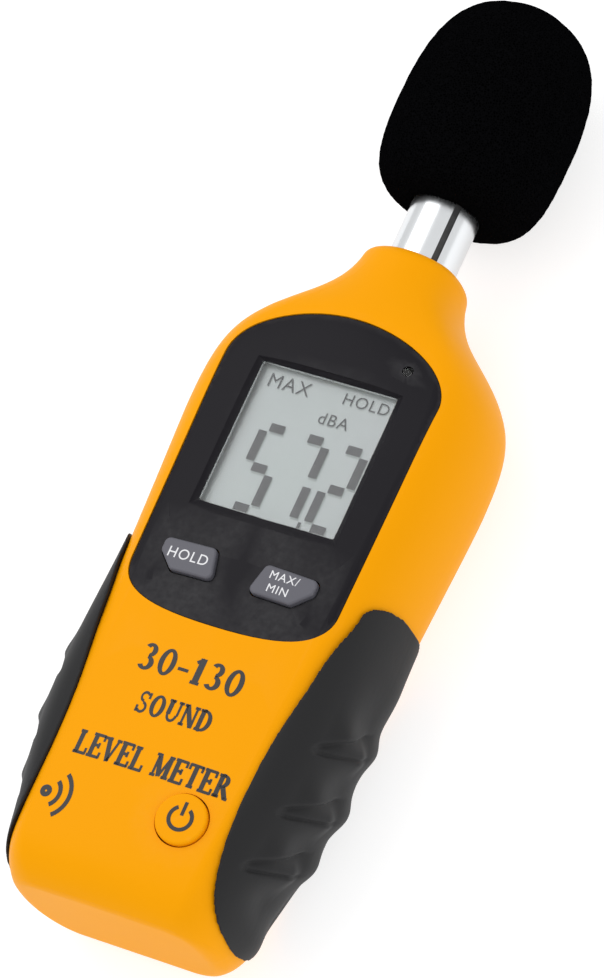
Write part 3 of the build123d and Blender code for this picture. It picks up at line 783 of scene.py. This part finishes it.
class METER_OT_grips(Operator):
    """Rubber side grips with finger hollows and pointed scoops, sculpted from the CAD forms"""

    bl_idname = "meter.grips"
    bl_label = "Side grips"

    def execute(self, context):
        settings = context.scene.meter_grips
        rubber = moulding("grip_rubber", settings.rubber_colour, 0.58,
                          grain=3600.0, depth=0.010 * MM, tone=0.10, wear=0.0, specular=0.2)
        for side in ("left", "right"):
            self.sculpt(context, side, rubber, settings)
        return {"FINISHED"}

    def sculpt(self, context, side, rubber, settings):
        """One grip: copy, remesh, then raise the crests and press the hollows and scoops in."""
        source = "grip_" + side
        draft = bpy.data.objects.new("draft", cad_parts[source].data.copy())
        context.scene.collection.objects.link(draft)
        form = bmesh.new()
        form.from_mesh(draft.data)
        bmesh.ops.remove_doubles(form, verts=form.verts, dist=1e-6)
        moulded = BVHTree.FromBMesh(form)
        form.to_mesh(draft.data)
        form.free()
        remesh = draft.modifiers.new("cells", "REMESH")
        remesh.mode = "VOXEL"
        remesh.voxel_size = settings.grain
        depsgraph = context.evaluated_depsgraph_get()
        mesh = bpy.data.meshes.new_from_object(draft.evaluated_get(depsgraph))
        bpy.data.objects.remove(draft)
        form = bmesh.new()
        form.from_mesh(mesh)
        bpy.data.meshes.remove(mesh)
        for _ in range(4):
            relax(form, 0.5)
        for vert in form.verts:
            vert.co = moulded.find_nearest(vert.co)[0]
        form.normal_update()
        moves = []
        for vert in form.verts:
            y = (vert.co.y - BOTTOM_END) / MM
            z = vert.co.z / MM
            sign = 1.0 if vert.co.x > 0.0 else -1.0
            inward = Vector((-sign, 0.0, -0.9 * smooth_step(18.0, 27.0, z))).normalized()
            facing = smooth_step(0.05, 0.5, -vert.normal.dot(inward))
            depth = settings.hollow_depth * hollow(y, z) + settings.scoop_depth * scoop(y, z)
            depth -= settings.crest_height * crest(y, z)
            moves.append(inward * depth * facing)
        for vert, move in zip(form.verts, moves):
            vert.co += move
        relax(form, 0.4)
        bmesh.ops.recalc_face_normals(form, faces=form.faces)
        grip = finished("sculpted_grip_" + side, form, rubber, "case")
        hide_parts(source)


# ---- bezel and keys --------------------------------------------------------------------
class METER_OT_keys(Operator):
    """Display bezel, grey keys and the legends printed on them"""

    bl_idname = "meter.keys"
    bl_label = "Bezel and keys"

    def execute(self, context):
        bezel = moulding("bezel_plastic", (0.0105, 0.0095, 0.0125), 0.42,
                         grain=4200.0, depth=0.004 * MM, tone=0.10, wear=0.15, specular=0.10)
        keys = moulding("key_plastic", (0.105, 0.104, 0.125), 0.48,
                        grain=3200.0, depth=0.006 * MM, tone=0.04, wear=0.2, specular=0.4)
        legend = moulding("key_legend", (0.80, 0.80, 0.82), 0.5, grain=5000.0, tone=0.03, wear=0.0)
        dress("display_bezel", bezel)
        dress("hold_button", keys)
        dress("max_min_button", keys)
        hold = middle(HOLD_LOW, HOLD_HIGH)
        both = middle(MAX_LOW, MAX_HIGH)
        self.legend("HOLD", "hold_button", 2.75, (hold.x - 0.1 * MM, hold.y + 0.1 * MM), legend)
        self.legend("MAX/", "max_min_button", 2.15, (both.x - 0.3 * MM, both.y + 1.25 * MM), legend)
        self.legend("MIN", "max_min_button", 2.15, (both.x - 0.6 * MM, both.y - 1.15 * MM), legend)
        return {"FINISHED"}

    def legend(self, words, key, size, centre, material):
        """Words printed on a key, riding with it."""
        form = text_sheet(words, size * MM, centre)
        lay_on(form, top_of(key), 0.03 * MM)
        name = "legend_" + words.strip("/").lower()
        finished(name, form, material, key, smooth=False)


# ---- display ---------------------------------------------------------------------------
SEGMENTS = {
    "0": "abcdef", "1": "bc", "2": "abged", "3": "abgcd", "4": "fgbc",
    "5": "afgcd", "6": "afgedc", "7": "abc", "8": "abcdefg", "9": "abcdfg",
}
DIGIT_PITCH = 7.6
DIGIT_WIDTH = 4.7
DIGIT_LEFT = -6.0
DIGIT_FOOT = 74.5
STROKE = 1.65
SEGMENT_GAP = 0.12
# Shift of the painted shadow under the reading, in millimetres.
SHADOW_SHIFT = (0.30, -0.42)
CAPTIONS = (("MAX", 3.7, -7.5, 98.4), ("HOLD", 3.1, 7.6, 98.8), ("dBA", 3.2, 3.2, 94.2))


class METER_OT_display(Operator):
    """Display panel with its reading, a painted shadow of the reading, and the clear window over it"""

    bl_idname = "meter.display"
    bl_label = "Display"

    def execute(self, context):
        settings = context.scene.meter_display
        dress("lcd_panel", display_face("lcd_glass", settings.panel_colour))
        clear = clear_window("clear_lens")
        for name in ("display_window", "light_pipe", "light_sensor"):
            dress(name, clear)
        ink = moulding("segment_on", settings.segment_colour, 0.35, grain=6000.0, tone=0.08, wear=0.0)
        # Painted shadow: a paler grey copy of the reading, shifted on the panel, stands for the shade that
        # the segments cast.
        painted_shadow = moulding("segment_shadow", shade(settings.panel_colour, 0.62)[:3], 0.45, grain=6000.0,
                         tone=0.05, wear=0.0)
        level = LCD_HIGH[2]
        for name, shift, lift, material in (
            ("reading", (0.0, 0.0), 0.05 * MM, ink),
            # This second sheet is painted shadow, not a segment of the display.
            ("reading_shadow", SHADOW_SHIFT, 0.015 * MM, painted_shadow),
        ):
            form = bmesh.new()
            self.digits(form, settings, shift)
            self.captions(form, shift)
            lay_on(form, lambda x, y: level, 0.012 * MM, lift)
            finished(name, form, material, "case", smooth=False)
        return {"FINISHED"}

    def digits(self, form, settings, shift):
        """The large reading, drawn in seven-segment digits with a decimal point."""
        height = settings.digit_height / MM
        half = height / 2
        for place, digit in enumerate(settings.reading):
            left = DIGIT_LEFT - DIGIT_WIDTH / 2 + DIGIT_PITCH * place + shift[0]
            foot = DIGIT_FOOT + shift[1]
            lines = {
                "a": (left, foot + height, 0), "g": (left, foot + half, 0), "d": (left, foot, 0),
                "f": (left, foot + half, 90), "e": (left, foot, 90),
                "b": (left + DIGIT_WIDTH, foot + half, 90), "c": (left + DIGIT_WIDTH, foot, 90),
            }
            for letter in SEGMENTS[digit]:
                x, y, turn = lines[letter]
                self.segment(form, x, y, DIGIT_WIDTH if turn == 0 else half, turn)
        point_x = DIGIT_LEFT + DIGIT_PITCH * 1.5 + shift[0] + 0.1
        self.segment(form, point_x, DIGIT_FOOT + shift[1] - 0.2, 0.0, 0, dot=True)

    def segment(self, form, x, y, length, turn, dot=False):
        """One bar with mitred ends, from a hexagon stretched along its length."""
        made = bmesh.ops.create_circle(form, cap_ends=True, segments=6, radius=1.0)["verts"]
        half_length = 0.62 if dot else length / 2 - SEGMENT_GAP
        half_stroke = 0.62 if dot else STROKE / 2
        turned = Matrix.Rotation(math.radians(turn), 3, "Z")
        centre = Vector((x, y, 0.0)) + turned @ Vector((length / 2, 0.0, 0.0))
        for vert in made:
            sx = (vert.co.x > 0.1) - (vert.co.x < -0.1)
            sy = (vert.co.y > 0.1) - (vert.co.y < -0.1)
            shoulder = half_length - half_stroke if sy else half_length
            if sx == 0:
                sx = 1 if vert.co.x >= 0.0 else -1
            local = turned @ Vector((sx * max(shoulder, 0.3), sy * half_stroke, 0.0))
            place = centre + local
            vert.co = Vector((place.x * MM, along(place.y), 0.0))

    def captions(self, form, shift):
        """The small words over the reading."""
        for words, size, x, y in CAPTIONS:
            centre = ((x + shift[0] * 0.5) * MM, along(y + shift[1] * 0.5))
            sheet = text_sheet(words, size * MM, centre)
            mesh = bpy.data.meshes.new("caption")
            sheet.to_mesh(mesh)
            sheet.free()
            form.from_mesh(mesh)
            bpy.data.meshes.remove(mesh)


# ---- printing --------------------------------------------------------------------------
class METER_OT_printing(Operator):
    """Words and signs printed on the front shell and the power key"""

    bl_idname = "meter.printing"
    bl_label = "Printing"

    def execute(self, context):
        settings = context.scene.meter_case
        ink = moulding("face_ink", settings.ink_colour, 0.45, grain=5000.0, tone=0.10, wear=0.0)
        face = top_of("front_case")
        for name, words, height, x, y, width in (
            ("print_range", "30-130", 4.9, 0.2, 43.1, 20.6),
            ("print_sound", "SOUND", 4.0, 0.6, 35.1, 14.8),
            ("print_level_meter", "LEVEL METER", 4.3, 0.9, 25.3, 30.4),
        ):
            form = roman_sheet(words, height * MM, (x * MM, along(y)), width * MM)
            lay_on(form, face, settings.ink_thickness)
            finished(name, form, ink, "case", smooth=False)
        self.wave_sign(face, settings, ink)
        self.power_sign(settings, ink)
        return {"FINISHED"}

    def wave_sign(self, face, settings, ink):
        """Small sign of a source with two sound waves."""
        form = bmesh.new()
        centre = (-15.6 * MM, along(15.2), 0.0)
        for inner, outer, start, sweep in ((0.2, 1.1, 0, 360), (2.3, 3.1, -54, 108), (4.3, 5.1, -54, 108)):
            add_band(form, centre, (inner * MM, inner * MM), (outer * MM, outer * MM), start, sweep)
        lay_on(form, face, settings.ink_thickness)
        finished("print_wave_sign", form, ink, "case", smooth=False)

    def power_sign(self, settings, ink):
        """Ring with a gap and a bar, on the power key."""
        key = middle(POWER_LOW, POWER_HIGH)
        form = bmesh.new()
        add_band(form, (key.x, key.y, 0.0), (1.7 * MM, 1.7 * MM), (2.4 * MM, 2.4 * MM), 122, 296)
        add_bar(form, (key.x, key.y + 0.5 * MM), (key.x, key.y + 3.0 * MM), 0.62 * MM)
        lay_on(form, top_of("power_button"), settings.ink_thickness)
        finished("print_power_sign", form, ink, "power_button", smooth=False)


# ---- microphone ------------------------------------------------------------------------
class METER_OT_microphone(Operator):
    """Plated tube and grid, and the pieces inside the neck"""

    bl_idname = "meter.microphone"
    bl_label = "Microphone"

    def execute(self, context):
        # rim paints shade into the chrome's colour at its edges as seen from the view.
        chrome = plated("chrome", (0.86, 0.88, 0.90), 0.22, streak=0.05, rim=0.78)
        dress("mic_tube", chrome)
        dress("mic_grid", chrome)
        dress("mic_capsule", plated("aluminium_can", (0.72, 0.72, 0.73), 0.32))
        dark = moulding("black_plastic", (0.02, 0.02, 0.021), 0.5, grain=3000.0, tone=0.08)
        for name in ("mic_holder", "mic_liner", "tact_switches", "lcd_frame"):
            dress(name, dark)
        return {"FINISHED"}


# ---- windscreen ------------------------------------------------------------------------
FOAM_RINGS = 96
FOAM_PROFILE_STEPS = 22
SLOW_UNEVENNESS = 0.12 * MM


def bezier(points, share):
    """Point on a cubic curve."""
    a, b, c, d = (Vector(p) for p in points)
    rest = 1.0 - share
    return a * rest ** 3 + b * 3 * rest ** 2 * share + c * 3 * rest * share ** 2 + d * share ** 3


class METER_OT_windscreen(Operator):
    """Foam windscreen, spun from its profile and roughened cell by cell"""

    bl_idname = "meter.windscreen"
    bl_label = "Windscreen"

    def execute(self, context):
        settings = context.scene.meter_foam
        foam = open_foam("foam", settings.foam_colour, settings.cell_size, 0.25 * MM)
        radius = (FOAM_HIGH[0] - FOAM_LOW[0]) / 2 - 0.05 * MM
        start = FOAM_LOW[1] + 0.05 * MM
        end = FOAM_HIGH[1] - 0.12 * MM
        bore = (TUBE_HIGH[0] - TUBE_LOW[0]) / 2 + 0.10 * MM
        length = end - start
        bore_end = start + 0.43 * length
        foot = (
            (7.6 * MM, start), (0.946 * radius, start),
            (radius, start + 0.173 * length), (radius, start + 0.436 * length),
        )
        crown = (
            (radius, start + 0.436 * length), (radius, start + 0.779 * length),
            (0.802 * radius, end), (0.0, end),
        )
        outline = [Vector((0.0, bore_end)), Vector((bore, bore_end)), Vector((bore, start + 0.9 * MM))]
        outline.append(Vector((bore + 0.35 * MM, start + 0.2 * MM)))
        outline += [bezier(foot, i / FOAM_PROFILE_STEPS) for i in range(FOAM_PROFILE_STEPS + 1)]
        outline += [bezier(crown, i / FOAM_PROFILE_STEPS) for i in range(1, FOAM_PROFILE_STEPS + 1)]
        form = bmesh.new()
        verts = [form.verts.new((p.x, p.y, MIC_AXIS_Z)) for p in outline]
        edges = [form.edges.new(pair) for pair in zip(verts, verts[1:])]
        bmesh.ops.spin(
            form, geom=[*verts, *edges], cent=(0.0, 0.0, MIC_AXIS_Z), axis=(0.0, 1.0, 0.0),
            angle=2 * math.pi, steps=FOAM_RINGS, use_merge=True,
        )
        bmesh.ops.remove_doubles(form, verts=form.verts, dist=1e-6)
        bmesh.ops.recalc_face_normals(form, faces=form.faces)
        bmesh.ops.subdivide_edges(form, edges=form.edges, cuts=1, use_grid_fill=True, smooth=0.0)
        form.normal_update()
        for vert in form.verts:
            out = math.hypot(vert.co.x, vert.co.z - MIC_AXIS_Z)
            if out > bore + 0.5 * MM:
                cells = noise.noise(vert.co * 900.0) * 0.6 + noise.noise(vert.co * 2100.0) * 0.4
                slow = noise.noise(vert.co * 110.0)
                sink = settings.unevenness * (1.0 - cells) + SLOW_UNEVENNESS * (1.0 - slow) * 0.5
                vert.co -= vert.normal * sink
        screen = finished("foam_windscreen", form, foam, "windscreen")
        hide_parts("windscreen")
        return {"FINISHED"}


# ---- inside ----------------------------------------------------------------------------
class METER_OT_inside(Operator):
    """Finishes of the board, the cells and everything else inside, and the door's foam pad"""

    bl_idname = "meter.inside"
    bl_label = "Inside"

    def execute(self, context):
        dress("main_board", board_face("board_laminate"))
        epoxy = moulding("chip_epoxy", (0.018, 0.018, 0.019), 0.55, grain=4000.0, tone=0.1)
        steel = plated("steel", (0.62, 0.61, 0.59), 0.28)
        for name in ("microcontroller", "preamp_chip"):
            dress(name, epoxy)
        for name in ("crystal", "battery_springs", "contact_plates", "case_screws", "pcb_screws"):
            dress(name, steel)
        dress("electrolytic_capacitors", plated("capacitor_can", (0.70, 0.70, 0.72), 0.25))
        dress("calibration_trimmer", moulding("blue_plastic", (0.02, 0.10, 0.45), 0.4))
        dress("lcd_backlight", moulding("white_plastic", (0.82, 0.82, 0.80), 0.45))
        dress("zebra_strips", moulding("connector_rubber", (0.05, 0.05, 0.055), 0.6))
        dress("tripod_insert", plated("brass", (0.75, 0.52, 0.20), 0.25))
        dress("batteries", cell_jacket("cell_jacket", (0.012, 0.030, 0.022), (0.62, 0.36, 0.12)))
        dress("battery_lead_red", moulding("lead_red", (0.50, 0.010, 0.008), 0.4, grain=6000.0))
        black = moulding("lead_black", (0.012, 0.012, 0.012), 0.4, grain=6000.0)
        for name in ("battery_lead_black", "mic_leads"):
            dress(name, black)
        plunger = moulding("switch_plunger", (0.04, 0.04, 0.042), 0.45)
        for name in ("hold_plunger", "max_min_plunger", "power_plunger"):
            dress(name, plunger)
        self.pad(context)
        return {"FINISHED"}

    def pad(self, context):
        """Foam pad on the battery door, with soft edges and a slight crown."""
        material = open_foam("pad_foam", (0.03, 0.03, 0.032), 0.7 * MM, 0.15 * MM)
        size = Vector(PAD_HIGH) - Vector(PAD_LOW)
        centre = middle(PAD_LOW, PAD_HIGH)
        form = bmesh.new()
        bmesh.ops.create_cube(form, size=1.0)
        bmesh.ops.scale(form, vec=size, verts=form.verts)
        bmesh.ops.translate(form, vec=centre, verts=form.verts)
        bmesh.ops.bevel(
            form, geom=form.edges[:], offset=0.25 * MM, offset_type="OFFSET", affect="EDGES", segments=3,
            profile=0.5, material=-1,
        )
        bmesh.ops.subdivide_edges(form, edges=form.edges, cuts=3, use_grid_fill=True)
        for vert in form.verts:
            if vert.co.z > centre.z:
                vert.co.z -= 0.12 * MM * (0.5 + 0.5 * noise.noise(vert.co * 700.0))
        bmesh.ops.recalc_face_normals(form, faces=form.faces)
        pad = finished("door_pad", form, material, "battery_cover")
        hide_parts("cover_pad")


# ---- panel and registration ------------------------------------------------------------
OPERATORS = (
    METER_OT_stage, METER_OT_case, METER_OT_grips, METER_OT_keys, METER_OT_display, METER_OT_printing,
    METER_OT_microphone, METER_OT_windscreen, METER_OT_inside,
)
SETTINGS = {
    "meter_stage": MeterStageSettings,
    "meter_case": MeterCaseSettings,
    "meter_grips": MeterGripSettings,
    "meter_display": MeterDisplaySettings,
    "meter_foam": MeterFoamSettings,
}


class METER_PT_sidebar(Panel):
    """Lists every step that builds the meter's looks"""

    bl_idname = "METER_PT_sidebar"
    bl_label = "Sound Level Meter"
    bl_space_type = "VIEW_3D"
    bl_region_type = "UI"
    bl_category = "Meter"

    def draw(self, context):
        for name, group in SETTINGS.items():
            box = self.layout.box()
            for label in group.__annotations__:
                box.prop(getattr(context.scene, name), label)
        for operator in OPERATORS:
            self.layout.operator(operator.bl_idname)


def register():
    """Register every class and hang the settings on the scene."""
    for group in (*SETTINGS.values(), *OPERATORS, METER_PT_sidebar):
        bpy.utils.register_class(group)
    for name, group in SETTINGS.items():
        setattr(bpy.types.Scene, name, PointerProperty(type=group))


def unregister():
    """Take the settings and classes away again."""
    for name in SETTINGS:
        delattr(bpy.types.Scene, name)
    for group in (METER_PT_sidebar, *reversed(OPERATORS), *SETTINGS.values()):
        bpy.utils.unregister_class(group)


def main():
    """Build everything in order."""
    register()
    for operator in OPERATORS:
        category, name = operator.bl_idname.split(".")
        getattr(getattr(bpy.ops, category), name)()


if __name__ == "__main__":
    main()
